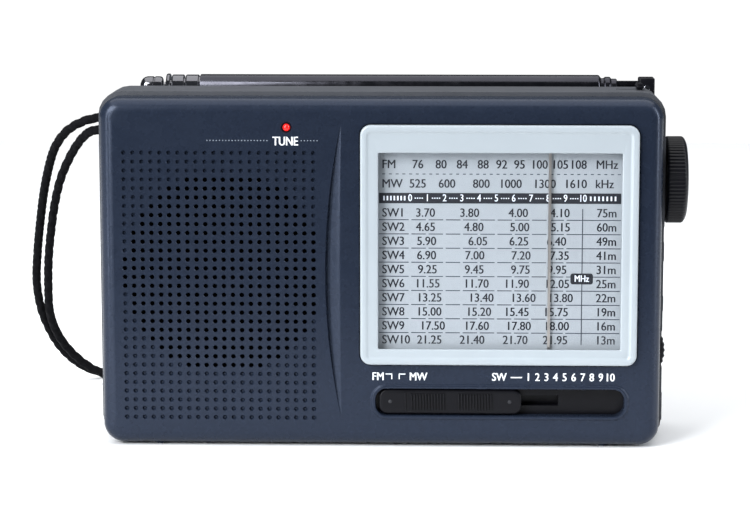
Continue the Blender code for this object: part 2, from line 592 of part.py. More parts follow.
def antenna_barrel():
    """Outer tube with its stepped ferrule and the flat tongue that the pin holds."""
    left, right = BARREL_X
    barrel = turned("antenna_barrel", (0, ROD_Y, ROD_Z), "x",
                    [(0, 50.6), (1.9, 50.6), (1.9, 49.4), (2.3, 49.1), (2.3, 48.0), (2.0, 47.7),
                     (2.0, 47.2), (2.7, 46.6), (2.7, left), (2.45, left), (2.45, right - 1.5),
                     (0, right - 1.5)], "dark_chrome", steps=16)
    join(barrel, block("tongue", (49.9, ROD_Y - 0.7, ROD_Z - 1.4), (PIVOT_X, ROD_Y + 0.7, ROD_Z + 1.4)),
         rod("tongue_eye", (PIVOT_X, 0, ROD_Z), "y", 1.55, ROD_Y - 0.7, ROD_Y + 0.7, sides=14))
    cut(barrel, rod("tongue_hole", (PIVOT_X, 0, ROD_Z), "y", 1.0, 8.0, 15.0, sides=12))


def antenna_sections():
    """Nested sliding tubes; each ends in a wider sleeve that stops against the tube outside it."""
    centre = (0, ROD_Y, ROD_Z)
    sleeves = ((2.3, 2.05, 2.6, -40.1, -43.0), (1.9, 1.65, 2.6, -43.3, -46.0),
               (1.5, 1.25, 2.8, -46.3, -47.2))
    for number, (outer, inner, sleeve, start, end) in enumerate(sleeves, 1):
        far = 43.6 - number
        turned(f"antenna_section_{number}", centre, "x",
               [(outer, far), (outer, start), (sleeve, start), (sleeve, end), (inner, end),
                (inner, far)], "chrome", steps=16, hollow=True)
    turned("antenna_section_4", centre, "x",
           [(0, 39.0), (1.0, 39.0), (1.0, -47.7), (0, -47.7)], "chrome", steps=14)
    turned("antenna_tip", centre, "x",
           [(0, -48.0), (1.9, -48.0), (2.2, -48.4), (2.2, -51.6), (1.7, -52.5), (0.8, -52.9),
            (0, -53.0)], "chrome", steps=16)


# ---------------------------------------------------------------- wrist strap

# hand-chosen points of the braided loop: out of the case, down to the table, round and back
STRAP_ROUTE = (
    (-58.6, 6.0, 68.2), (-61.6, 6.3, 68.0), (-65.2, 8.0, 67.0), (-69.0, 11.0, 64.8), (-72.0, 14.5, 61.4),
    (-74.0, 18.0, 57.4), (-76.2, 22.5, 50.5), (-78.0, 27.0, 42.5), (-79.4, 31.0, 35.0),
    (-80.4, 35.0, 27.5), (-80.4, 40.0, 20.6), (-79.4, 44.5, 15.0), (-77.6, 49.0, 9.8),
    (-74.8, 53.6, 5.4), (-70.8, 57.4, 2.2), (-65.0, 60.0, 0.9), (-55.0, 61.5, 0.9),
    (-43.0, 62.0, 0.9), (-31.0, 61.6, 0.9), (-22.5, 59.0, 0.9), (-19.5, 54.0, 0.9),
    (-22.5, 49.0, 0.9), (-31.0, 46.4, 0.9), (-43.0, 46.6, 0.9), (-55.0, 49.0, 0.9),
    (-64.0, 51.2, 1.4), (-70.4, 50.6, 4.2), (-74.6, 47.4, 8.6), (-77.2, 43.6, 13.8),
    (-78.2, 39.4, 19.6), (-77.8, 35.4, 26.4), (-77.0, 31.6, 33.4), (-75.6, 27.4, 40.8),
    (-74.0, 23.4, 47.4), (-72.0, 19.4, 53.2), (-69.4, 15.4, 58.2), (-66.6, 11.4, 62.2),
    (-64.0, 8.2, 64.6), (-61.6, 6.3, 65.4), (-58.6, 6.0, 65.6))
STRAP_POINTS = 80


def wrist_strap():
    route = smooth_route([Vector(place) for place in STRAP_ROUTE], STRAP_POINTS)
    tube("wrist_strap", route, STRAP_R, "strap_braid")
    block("strap_retainer", (-57.8, 3.0, 64.0), (-54.5, 9.0, 69.6), "black_plastic")


front_shell()
rear_shell()
case_screws()
battery_cover()
display_bezel()
dial_window()
dial_pointer()
tuning_knob()
dial_drum()
tuning_drive()
band_switch()
speaker()
electronics()
jacks()
volume_control()
power_switch()
battery_set()
antenna_base()
antenna_barrel()
antenna_sections()
wrist_strap()
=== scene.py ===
"""Looks of the pocket world-band radio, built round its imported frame."""
import json
import math

import bmesh
import bpy
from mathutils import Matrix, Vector
from mathutils.geometry import delaunay_2d_cdt


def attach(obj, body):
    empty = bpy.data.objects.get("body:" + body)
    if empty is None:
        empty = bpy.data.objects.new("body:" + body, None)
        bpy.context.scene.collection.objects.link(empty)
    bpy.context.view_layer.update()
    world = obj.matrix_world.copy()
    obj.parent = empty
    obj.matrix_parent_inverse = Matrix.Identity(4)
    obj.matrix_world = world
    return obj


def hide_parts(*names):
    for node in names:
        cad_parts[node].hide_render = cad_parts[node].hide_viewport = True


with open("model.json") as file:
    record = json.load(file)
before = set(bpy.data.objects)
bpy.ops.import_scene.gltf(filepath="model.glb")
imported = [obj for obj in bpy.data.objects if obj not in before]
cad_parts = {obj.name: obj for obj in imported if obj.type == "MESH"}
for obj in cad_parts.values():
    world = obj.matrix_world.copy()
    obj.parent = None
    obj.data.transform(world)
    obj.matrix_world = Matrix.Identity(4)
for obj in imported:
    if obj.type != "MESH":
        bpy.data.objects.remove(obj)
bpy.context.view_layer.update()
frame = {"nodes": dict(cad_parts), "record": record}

MM = 0.001
TAU = 2 * math.pi

# The CAD's own measures, in millimetres
FRONT_HALF, FRONT_Y, FRONT_BACK = 59.0, -14.0, -6.3
FRONT_LOW, FRONT_TOP, FRONT_WALL = 0.4, 74.0, 2.0
FRONT_CORNER, FRONT_ROUND, CAVITY_CORNER = 4.3, 3.0, 2.8
INNER_Y = FRONT_Y + FRONT_WALL
BEZEL_LOW, BEZEL_HIGH = (-4.2, 17.95), (53.85, 68.6)
BEZEL_FRONT, BEZEL_BACK = -15.2, -13.4
WINDOW_LOW, WINDOW_HIGH = (-0.45, 21.3), (50.4, 62.8)
LENS_Y = (-14.2, -13.7)
PLATE_FRONT = -12.5
SLOT_LOW, SLOT_HIGH = (-1.1, 6.9), (51.5, 12.8)
SLOT_RIM_LOW, SLOT_RIM_HIGH, SLOT_RIM_Y = (-1.9, 6.2), (52.3, 13.5), -14.35
TUNE_Z, KNOB_R, KNOB_X = 55.7, 9.25, (60.3, 64.7)
ROD_Y, ROD_Z, BARREL_X = 11.4, 74.4, (-39.8, 45.9)
SPEAKER_X, SPEAKER_Z = -33.24, 37.6
WHEEL_R, WHEEL_X, WHEEL_Z, WHEEL_Y = 8.0, 52.4, 20.0, (-7.7, -4.9)
LED_X, LED_Z = -19.6, 68.0


def point(x, y, z):
    """A point in millimetres, as a vector in metres."""
    return Vector((x, y, z)) * MM


# ---------------------------------------------------------------- camera and stage

def add_camera():
    data = bpy.data.cameras.new("camera")
    data.lens, data.sensor_width = 122.4, 36.0
    data.clip_start, data.clip_end = 0.01, 50.0
    camera = bpy.data.objects.new("camera", data)
    camera.location = (0.01364, -0.54231, 0.12084)
    camera.rotation_euler = (math.radians(81.4), 0.0, math.radians(1.6))
    bpy.context.scene.collection.objects.link(camera)
    bpy.context.scene.camera = camera


def add_light(name, place, target, size, power, colour=(1.0, 1.0, 1.0)):
    data = bpy.data.lights.new(name, "AREA")
    data.shape, data.size, data.size_y = "RECTANGLE", size[0], size[1]
    data.energy, data.color = power, colour
    light = bpy.data.objects.new(name, data)
    light.location = place
    light.rotation_euler = (Vector(target) - Vector(place)).to_track_quat("-Z", "Y").to_euler()
    bpy.context.scene.collection.objects.link(light)
    return light


def add_stage():
    mesh = bpy.data.meshes.new("floor")
    left, right, front, back = -0.62, 0.62, -0.14, 0.60
    mesh.from_pydata([(left, front, 0), (right, front, 0), (right, back, 0), (left, back, 0)], [],
                     [(0, 1, 2, 3)])
    floor = bpy.data.objects.new("floor", mesh)
    bpy.context.scene.collection.objects.link(floor)
    material = bpy.data.materials.new("floor_paper")
    material.use_nodes = True
    shader = material.node_tree.nodes["Principled BSDF"]
    shader.inputs["Base Color"].default_value = (0.93, 0.93, 0.93, 1.0)
    shader.inputs["Roughness"].default_value = 0.55
    shader.inputs["Specular IOR Level"].default_value = 0.25
    mesh.materials.append(material)

    world = bpy.data.worlds.new("studio")
    bpy.context.scene.world = world
    world.use_nodes = True
    nodes, links = world.node_tree.nodes, world.node_tree.links
    nodes.clear()
    output = nodes.new("ShaderNodeOutputWorld")
    mix = nodes.new("ShaderNodeMixShader")
    path = nodes.new("ShaderNodeLightPath")
    fill, seen = nodes.new("ShaderNodeBackground"), nodes.new("ShaderNodeBackground")
    fill.inputs["Color"].default_value = (0.80, 0.88, 1.0, 1.0)
    fill.inputs["Strength"].default_value = 0.16
    seen.inputs["Color"].default_value = (1.0, 1.0, 1.0, 1.0)
    seen.inputs["Strength"].default_value = 1.05
    links.new(path.outputs["Is Camera Ray"], mix.inputs["Fac"])
    links.new(fill.outputs["Background"], mix.inputs[1])
    links.new(seen.outputs["Background"], mix.inputs[2])
    links.new(mix.outputs["Shader"], output.inputs["Surface"])

    add_light("overhead", (0.0, 0.10, 0.95), (0.0, 0.02, 0.0), (1.5, 1.3), 13.0)
    add_light("key", (-0.75, -0.85, 0.75), (0.0, 0.0, 0.04), (0.7, 0.7), 22.0, (0.96, 0.98, 1.0))
    add_light("right_strip", (0.85, -0.17, 0.30), (0.05, 0.0, 0.04), (0.12, 0.9), 6.0,
              (0.92, 0.96, 1.0))
    add_light("left_strip", (-0.80, -0.50, 0.25), (-0.05, 0.0, 0.04), (0.16, 0.8), 4.0,
              (0.92, 0.96, 1.0))
    add_light("low_left_strip", (-0.62, -0.92, 0.12), (-0.01, 0.0, 0.04), (0.14, 0.4), 3.0,
              (0.92, 0.96, 1.0))
    view = bpy.context.scene.view_settings
    view.view_transform, view.look = "Standard", "None"
    view.exposure, view.gamma = 0.0, 1.0


# ---------------------------------------------------------------- materials

class Finish:
    """A procedural material under construction: one Principled shader and its texture nodes."""

    def __init__(self, name, roughness=0.5, metallic=0.0, **sockets):
        self.material = bpy.data.materials.new(name)
        self.material.use_nodes = True
        self.nodes = self.material.node_tree.nodes
        self.links = self.material.node_tree.links
        self.shader = self.nodes["Principled BSDF"]
        self.shader.inputs["Roughness"].default_value = roughness
        self.shader.inputs["Metallic"].default_value = metallic
        for socket, value in sockets.items():
            self.shader.inputs[socket.replace("_", " ")].default_value = value
        self.place = self.nodes.new("ShaderNodeTexCoord").outputs["Object"]

    def stretched(self, scale):
        """The object's own coordinates, scaled along each axis."""
        mapping = self.nodes.new("ShaderNodeMapping")
        mapping.inputs["Scale"].default_value = scale
        self.links.new(self.place, mapping.inputs["Vector"])
        return mapping.outputs["Vector"]

    def noise(self, scale, detail=3.0, rough=0.55, vector=None):
        node = self.nodes.new("ShaderNodeTexNoise")
        node.inputs["Scale"].default_value = scale
        node.inputs["Detail"].default_value = detail
        node.inputs["Roughness"].default_value = rough
        self.links.new(vector or self.place, node.inputs["Vector"])
        return node.outputs["Fac"]

    def cells(self, scale, feature="F1", vector=None):
        node = self.nodes.new("ShaderNodeTexVoronoi")
        node.feature = feature
        node.inputs["Scale"].default_value = scale
        self.links.new(vector or self.place, node.inputs["Vector"])
        return node.outputs["Distance"]

    def waves(self, scale, direction="X", vector=None, distortion=0.0):
        node = self.nodes.new("ShaderNodeTexWave")
        node.bands_direction = direction
        node.inputs["Scale"].default_value = scale
        node.inputs["Distortion"].default_value = distortion
        self.links.new(vector or self.place, node.inputs["Vector"])
        return node.outputs["Fac"]

    def mapped(self, value, low, high, start=0.3, stop=0.7):
        node = self.nodes.new("ShaderNodeMapRange")
        node.inputs["From Min"].default_value = start
        node.inputs["From Max"].default_value = stop
        node.inputs["To Min"].default_value = low
        node.inputs["To Max"].default_value = high
        self.links.new(value, node.inputs["Value"])
        return node.outputs["Result"]

    def colour(self, value, stops):
        ramp = self.nodes.new("ShaderNodeValToRGB")
        elements = ramp.color_ramp.elements
        while len(elements) < len(stops):
            elements.new(0.5)
        for element, (position, shade) in zip(elements, stops):
            element.position, element.color = position, (*shade, 1.0)
        self.links.new(value, ramp.inputs["Fac"])
        self.links.new(ramp.outputs["Color"], self.shader.inputs["Base Color"])

    def rough(self, value, low, high):
        self.links.new(self.mapped(value, low, high), self.shader.inputs["Roughness"])

    def bump(self, value, strength, height):
        node = self.nodes.new("ShaderNodeBump")
        node.inputs["Strength"].default_value = strength
        node.inputs["Distance"].default_value = height * MM
        self.links.new(value, node.inputs["Height"])
        self.links.new(node.outputs["Normal"], self.shader.inputs["Normal"])


def shades(colour, spread):
    """Ramp stops a little darker and a little lighter than a colour."""
    return [(0.3, tuple(c * (1 - spread) for c in colour)),
            (0.7, tuple(min(c * (1 + spread), 1.0) for c in colour))]


def plastic(name, colour, roughness, grain=900.0, depth=0.02, spread=0.06, **sockets):
    """Moulded plastic: a fine spark-eroded grain, faint mottling and uneven gloss."""
    made = Finish(name, roughness, **sockets)
    made.colour(made.noise(60.0), shades(colour, spread))
    made.rough(made.noise(220.0), roughness * 0.88, roughness * 1.12)
    made.bump(made.noise(grain * 4, 2.0), 0.35, depth)
    return made.material


def metal(name, colour, roughness, brushed=None, spread=0.08, **sockets):
    """Plated metal: faint drawing lines along one axis, or a plain polish with haze."""
    made = Finish(name, roughness, metallic=1.0, **sockets)
    if brushed:
        scale = tuple(40.0 if axis == brushed else 2500.0 for axis in "xyz")
        lines = made.noise(1.0, 3.0, vector=made.stretched(scale))
        made.bump(lines, 0.12, 0.01)
    else:
        lines = made.noise(500.0)
    made.colour(made.noise(90.0), shades(colour, spread))
    made.rough(lines, roughness * 0.75, roughness * 1.3)
    return made.material


def woven(name, colour, roughness=0.85, pitch=2600.0, spread=0.25):
    """Cloth or thread: waves along one axis for the weave, with a soft sheen."""
    made = Finish(name, roughness, Sheen_Weight=0.01, Sheen_Roughness=0.5, Specular_IOR_Level=0.06)
    made.colour(made.noise(900.0), shades(colour, spread))
    weave = made.waves(pitch, "X", distortion=0.4)
    made.bump(weave, 0.5, 0.05)
    made.rough(made.noise(1500.0), roughness * 0.9, 1.0)
    return made.material


def pearl_shell():
    """Navy plastic with a fine metallic fleck under a satin skin."""
    made = Finish("navy_pearl", 0.28, metallic=0.35, Specular_IOR_Level=0.25)
    made.colour(made.noise(2600.0, 4.0), shades((0.016, 0.023, 0.041), 0.16))
    made.rough(made.noise(300.0), 0.24, 0.31)
    made.bump(made.noise(5200.0, 2.0), 0.30, 0.012)
    return made.material


def glass():
    """Clear acrylic: it lets light straight through and mirrors a little at a slant.

    Only its outward faces mirror, since a ray leaving unbent would meet total reflection."""
    material = bpy.data.materials.new("clear_acrylic")
    material.use_nodes = True
    nodes, links = material.node_tree.nodes, material.node_tree.links
    nodes.remove(nodes["Principled BSDF"])
    output = nodes["Material Output"]
    mix, clear = nodes.new("ShaderNodeMixShader"), nodes.new("ShaderNodeBsdfTransparent")
    gloss, fresnel = nodes.new("ShaderNodeBsdfGlossy"), nodes.new("ShaderNodeFresnel")
    clear.inputs["Color"].default_value = (0.97, 0.98, 1.0, 1.0)
    gloss.inputs["Roughness"].default_value = 0.04
    fresnel.inputs["IOR"].default_value = 1.30
    side, outward, share = (nodes.new("ShaderNodeNewGeometry"), nodes.new("ShaderNodeMath"),
                            nodes.new("ShaderNodeMath"))
    outward.operation, share.operation = "SUBTRACT", "MULTIPLY"
    outward.inputs[0].default_value = 1.0
    links.new(side.outputs["Backfacing"], outward.inputs[1])
    links.new(fresnel.outputs["Fac"], share.inputs[0])
    links.new(outward.outputs["Value"], share.inputs[1])
    links.new(share.outputs["Value"], mix.inputs["Fac"])
    links.new(clear.outputs["BSDF"], mix.inputs[1])
    links.new(gloss.outputs["BSDF"], mix.inputs[2])
    links.new(mix.outputs["Shader"], output.inputs["Surface"])
    return material


def cell_jacket():
    """A printed cell: a dark band and a green one, with a fine film texture."""
    made = Finish("cell_film", 0.3, Coat_Weight=0.4, Coat_Roughness=0.15)
    made.colour(made.waves(9.0, "X"), [(0.45, (0.02, 0.10, 0.05)), (0.5, (0.10, 0.32, 0.15))])
    made.rough(made.noise(300.0), 0.25, 0.35)
    return made.material


def circuit_board():
    made = Finish("solder_mask", 0.35, Coat_Weight=0.3)
    tracks = made.cells(420.0, "DISTANCE_TO_EDGE")
    made.colour(tracks, [(0.04, (0.03, 0.20, 0.07)), (0.09, (0.012, 0.11, 0.035))])
    made.bump(tracks, 0.3, 0.03)
    made.rough(made.noise(200.0), 0.3, 0.4)
    return made.material


def wound_copper():
    made = Finish("copper_winding", 0.3, metallic=1.0)
    made.colour(made.noise(300.0), shades((0.62, 0.27, 0.11), 0.15))
    made.bump(made.waves(1600.0, "X"), 0.8, 0.05)
    made.rough(made.noise(500.0), 0.24, 0.36)
    return made.material


def glowing_led():
    made = Finish("lit_red", 0.22)
    made.colour(made.noise(900.0), shades((0.80, 0.015, 0.012), 0.1))
    made.rough(made.noise(600.0), 0.18, 0.26)
    made.shader.inputs["Emission Color"].default_value = (1.0, 0.0, 0.0, 1.0)
    made.shader.inputs["Emission Strength"].default_value = 0.55
    return made.material


MATERIALS = {
    "navy_shell": pearl_shell(),
    "charcoal_shell": plastic("charcoal_grain", (0.052, 0.055, 0.064), 0.52, 700.0, 0.03),
    "black_plastic": plastic("black_satin", (0.0035, 0.0035, 0.0052), 0.36, 1100.0, 0.012,
                             Specular_IOR_Level=0.16),
    "silver_frame": plastic("silver_paint", (0.36, 0.40, 0.43), 0.32, 1500.0, 0.006, 0.02,
                            Coat_Weight=0.15, Coat_Roughness=0.2),
    "clear_lens": glass(),
    "dial_print": plastic("dial_card", (0.37, 0.39, 0.39), 0.55, 1200.0, 0.004, 0.015),
    "chrome": metal("polished_chrome", (0.13, 0.13, 0.14), 0.12),
    "dark_chrome": metal("black_chrome", (0.042, 0.042, 0.050), 0.22),
    "steel": metal("zinc_plate", (0.55, 0.55, 0.54), 0.34, "x"),
    "needle": metal("beige_enamel", (0.55, 0.50, 0.44), 0.35, "z"),
    "white_plastic": plastic("natural_nylon", (0.78, 0.77, 0.72), 0.45),
    "cord": woven("waxed_thread", (0.66, 0.60, 0.48)),
    "board": circuit_board(),
    "ferrite": plastic("sintered_ferrite", (0.028, 0.028, 0.030), 0.7, 500.0, 0.05, 0.2),
    "copper": wound_copper(),
    "paper_cone": plastic("pressed_paper", (0.012, 0.012, 0.013), 0.9, 300.0, 0.06, 0.2),
    "cell_jacket": cell_jacket(),
    "red_led": glowing_led(),
    "strap_braid": woven("black_braid", (0.0040, 0.0040, 0.0050)),
}
WHITE_INK = plastic("white_ink", (0.82, 0.84, 0.86), 0.5, 1500.0, 0.004, 0.02)
GREY_INK = plastic("grey_ink", (0.22, 0.25, 0.30), 0.5, 1500.0, 0.004, 0.02)
BLACK_INK = plastic("black_ink", (0.012, 0.013, 0.017), 0.5, 1500.0, 0.004, 0.05)
SOFT_BLACK_INK = plastic("line_ink", (0.055, 0.062, 0.075), 0.5, 1500.0, 0.004, 0.05)
CLOTH = woven("speaker_cloth", (0.006, 0.006, 0.007), 0.95, 3000.0)


def dress_nodes():
    """Give every CAD node the material of its slot."""
    for part in frame["record"]["subparts"]:
        data = frame["nodes"][part["node"]].data
        data.materials.clear()
        data.materials.append(MATERIALS[part["material_slot"]])


# ---------------------------------------------------------------- mesh helpers

def add_piece(name, bm, slot, body="case", replaces=(), material=None, angle=32.0, recalc=True):
    """Turn a bmesh into a piece that rides on a body and carries a slot's material."""
    if recalc:
        bmesh.ops.recalc_face_normals(bm, faces=bm.faces)
    mesh = bpy.data.meshes.new(name)
    bm.to_mesh(mesh)
    bm.free()
    mesh.shade_smooth()
    mesh.set_sharp_from_angle(angle=math.radians(angle))
    mesh.materials.append(material or MATERIALS[slot])
    obj = bpy.data.objects.new(name, mesh)
    bpy.context.scene.collection.objects.link(obj)
    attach(obj, body)
    if replaces:
        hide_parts(*replaces)
    return obj


def rounded(low, high, radius, steps=8, extra=()):
    """A rounded rectangle's outline, anticlockwise in x and z, with extra points up its right side."""
    (x0, z0), (x1, z1) = low, high
    loop = []
    for centre_x, centre_z, start in ((x1 - radius, z0 + radius, -90), (x1 - radius, z1 - radius, 0),
                                      (x0 + radius, z1 - radius, 90), (x0 + radius, z0 + radius, 180)):
        for step in range(steps + 1):
            angle = math.radians(start + 90 * step / steps)
            loop.append((centre_x + radius * math.cos(angle), centre_z + radius * math.sin(angle)))
        if start == -90:
            loop += [(x1, z) for z in extra]
    return loop


def inset(low, high, by):
    return (low[0] + by, low[1] + by), (high[0] - by, high[1] - by)


def ring(bm, loop, y):
    """Vertices round an outline at one depth; y may be a number or a function of x and z."""
    return [bm.verts.new(point(x, y(x, z) if callable(y) else y, z)) for x, z in loop]


def bridge(bm, first, second):
    count = len(first)
    for k in range(count):
        corners = [first[k], first[(k + 1) % count], second[(k + 1) % count], second[k]]
        unique = list(dict.fromkeys(corners))
        if len(unique) > 2:
            bm.faces.new(unique)


def bridge_all(bm, rings):
    for first, second in zip(rings, rings[1:]):
        bridge(bm, first, second)


def sheet_with_holes(bm, y, outer, holes, scatter=()):
    """Triangulate a flat face between an outer ring and hole rings, sharing their vertices."""
    loops = [outer, *holes]
    verts = [v for loop in loops for v in loop]
    flat, edges, start = [], [], 0
    for loop in loops:
        count = len(loop)
        edges += [(start + k, start + (k + 1) % count) for k in range(count)]
        start += count
    flat = [Vector((v.co.x / MM, v.co.z / MM)) for v in verts]
    flat += [Vector(place) for place in scatter]
    found, _, faces, origins, _, _ = delaunay_2d_cdt(flat, edges, [], 1, 1e-6)
    made = []
    for place, source in zip(found, origins):
        known = [verts[i] for i in source if i < len(verts)]
        made.append(known[0] if known else bm.verts.new(point(place.x, y, place.y)))
    outlines = [[(v.co.x / MM, v.co.z / MM) for v in loop] for loop in holes]
    boxes = [(min(x for x, _ in o), max(x for x, _ in o), min(z for _, z in o), max(z for _, z in o), o)
             for o in outlines]
    for face in faces:
        cx = sum(found[i].x for i in face) / len(face)
        cz = sum(found[i].y for i in face) / len(face)
        if any(x0 < cx < x1 and z0 < cz < z1 and inside(cx, cz, o) for x0, x1, z0, z1, o in boxes):
            continue
        bm.faces.new([made[i] for i in face])


def inside(x, z, outline):
    """Whether a point lies in a polygon."""
    odd = False
    for (ax, az), (bx, bz) in zip(outline, outline[1:] + outline[:1]):
        if (az > z) != (bz > z) and x < (bx - ax) * (z - az) / (bz - az) + ax:
            odd = not odd
    return odd


def circle(x, z, radius, sides, phase=0.0):
    return [(x + radius * math.cos(phase + TAU * k / sides), z + radius * math.sin(phase + TAU * k / sides))
            for k in range(sides)]


AXES = {"x": (Vector((1, 0, 0)), Vector((0, 1, 0)), Vector((0, 0, 1))),
        "y": (Vector((0, 1, 0)), Vector((1, 0, 0)), Vector((0, 0, 1))),
        "z": (Vector((0, 0, 1)), Vector((1, 0, 0)), Vector((0, 1, 0)))}


def lathe(bm, centre, axis, profile, steps=48, wobble=None):
    """A turned form from (radius, position) points; wobble(angle, radius, position) alters the radius."""
    along, side, up = AXES[axis]
    centre = Vector([0.0 if "xyz"[k] == axis else c for k, c in enumerate(centre)])
    rings = []
    for radius, position in profile:
        if radius < 1e-6:
            rings.append([bm.verts.new((centre + along * position) * MM)] * steps)
            continue
        loop = []
        for k in range(steps):
            angle = TAU * k / steps
            r = radius + (wobble(angle, radius, position) if wobble else 0.0)
            loop.append(bm.verts.new((centre + along * position + side * r * math.cos(angle)
                                      + up * r * math.sin(angle)) * MM))
        rings.append(loop)
    bridge_all(bm, rings)
    return rings


def bevelled_box(bm, low, high, edge=0.15, segments=2):
    """A box with all its edges softened."""
    low, high = point(*low), point(*high)
    made = bmesh.ops.create_cube(bm, size=1.0)["verts"]
    bmesh.ops.scale(bm, vec=high - low, verts=made)
    bmesh.ops.translate(bm, vec=(high + low) / 2, verts=made)
    edges = list({e for v in made for e in v.link_edges})
    bmesh.ops.bevel(bm, geom=edges, offset=edge * MM, segments=segments, profile=0.5, affect="EDGES")


# ---------------------------------------------------------------- wrist strap

STRAP_R = 1.0
STRAP_RING_STEP, STRAP_SIDES = 0.00032, 16           # spacing in metres along the route
STRAP_LAY = 3.2                                      # length of one turn of a strand
STRAP_ROUTE = (
    (-58.6, 6.0, 68.2), (-61.6, 6.3, 68.0), (-65.2, 8.0, 67.0), (-69.0, 11.0, 64.8), (-72.0, 14.5, 61.4),
    (-74.0, 18.0, 57.4), (-76.2, 22.5, 50.5), (-78.0, 27.0, 42.5), (-79.4, 31.0, 35.0),
    (-80.4, 35.0, 27.5), (-80.4, 40.0, 20.6), (-79.4, 44.5, 15.0), (-77.6, 49.0, 9.8),
    (-74.8, 53.6, 5.4), (-70.8, 57.4, 2.2), (-65.0, 60.0, 0.9), (-55.0, 61.5, 0.9),
    (-43.0, 62.0, 0.9), (-31.0, 61.6, 0.9), (-22.5, 59.0, 0.9), (-19.5, 54.0, 0.9),
    (-22.5, 49.0, 0.9), (-31.0, 46.4, 0.9), (-43.0, 46.6, 0.9), (-55.0, 49.0, 0.9),
    (-64.0, 51.2, 1.4), (-70.4, 50.6, 4.2), (-74.6, 47.4, 8.6), (-77.2, 43.6, 13.8),
    (-78.2, 39.4, 19.6), (-77.8, 35.4, 26.4), (-77.0, 31.6, 33.4), (-75.6, 27.4, 40.8),
    (-74.0, 23.4, 47.4), (-72.0, 19.4, 53.2), (-69.4, 15.4, 58.2), (-66.6, 11.4, 62.2),
    (-64.0, 8.2, 64.6), (-61.6, 6.3, 65.4), (-58.6, 6.0, 65.6))


def even_route(anchors, spacing):
    """Evenly spaced points on a Catmull-Rom curve through the anchors, with its length."""
    padded = [anchors[0] * 2 - anchors[1], *anchors, anchors[-1] * 2 - anchors[-2]]
    fine = []
    for a, b, c, d in zip(padded, padded[1:], padded[2:], padded[3:]):
        for step in range(24):
            t = step / 24
            fine.append(0.5 * (2 * b + (c - a) * t + (2 * a - 5 * b + 4 * c - d) * t ** 2
                               + (3 * b - a - 3 * c + d) * t ** 3))
    fine.append(anchors[-1])
    reach = [0.0]
    for first, second in zip(fine, fine[1:]):
        reach.append(reach[-1] + (second - first).length)
    count = int(reach[-1] / spacing) + 1
    points, index = [], 0
    for number in range(count):
        wanted = reach[-1] * number / (count - 1)
        while index < len(fine) - 2 and reach[index + 1] < wanted:
            index += 1
        share = (wanted - reach[index]) / (reach[index + 1] - reach[index])
        points.append(fine[index].lerp(fine[index + 1], min(share, 1.0)))
    return points, reach[-1]


def wrist_strap():
    """A braided cord: each strand of the braid is a low hump that winds round the tube."""
    route, length = even_route([point(*p) for p in STRAP_ROUTE], STRAP_RING_STEP)
    bm = bmesh.new()
    tangent = (route[1] - route[0]).normalized()
    normal = tangent.orthogonal().normalized()
    rings, travelled = [], 0.0
    for number, place in enumerate(route):
        ahead = route[min(number + 1, len(route) - 1)]
        behind = route[max(number - 1, 0)]
        fresh = (ahead - behind).normalized()
        normal = (normal - fresh * normal.dot(fresh)).normalized()
        other = fresh.cross(normal)
        travelled += (place - behind).length
        loop = []
        for k in range(STRAP_SIDES):
            angle = TAU * k / STRAP_SIDES
            turn = TAU * travelled / (STRAP_LAY * MM)
            crossing = max(math.cos(3 * angle + turn), math.cos(3 * angle - turn))
            radius = STRAP_R * MM * (0.90 + 0.13 * crossing)
            loop.append(bm.verts.new(place + (normal * math.cos(angle) + other * math.sin(angle)) * radius))
        rings.append(loop)
    bridge_all(bm, rings)
    bm.faces.new(rings[0])
    bm.faces.new(rings[-1])
    strap = add_piece("wrist_strap_braid", bm, "strap_braid", replaces=["wrist_strap"], angle=60)


# ---------------------------------------------------------------- front shell

GRILLE_X, GRILLE_Z, GRILLE_STEP = -53.74, 62.6, (1.891, 1.877)
GRILLE_COLUMNS, GRILLE_ROWS = 22, 31
HOLE_R, HOLE_SIDES = 0.49, 12
OPEN_CENTRE, OPEN_REACH = (11, 13.5), 11.26          # column, row and reach of the holes that go through
FADE_X, DEEPEST_X, CRESCENT_HALF, CRESCENT_Z = -8.2, -11.7, 31.4, 37.5


def grille_places():
    """Every hole of the grille: x, z, and whether it goes right through."""
    for column in range(GRILLE_COLUMNS):
        for row in range(GRILLE_ROWS):
            through = ((column - OPEN_CENTRE[0]) ** 2 + (row - OPEN_CENTRE[1]) ** 2
                       <= OPEN_REACH ** 2)
            yield (GRILLE_X + GRILLE_STEP[0] * column, GRILLE_Z - GRILLE_STEP[1] * row, through)


def crescent_rows(count=44):
    """The crescent's rows, bottom to top: height and the x of its deep edge."""
    sagitta = FADE_X - DEEPEST_X
    radius = (CRESCENT_HALF ** 2 + sagitta ** 2) / (2 * sagitta)
    spread = math.asin(CRESCENT_HALF / radius)
    for number in range(count + 1):
        angle = spread * (2 * number / count - 1)
        yield (CRESCENT_Z + radius * math.sin(angle), DEEPEST_X + radius * (1 - math.cos(angle)))


def smooth(t):
    t = min(max(t, 0.0), 1.0)
    return t * t * (3 - 2 * t)


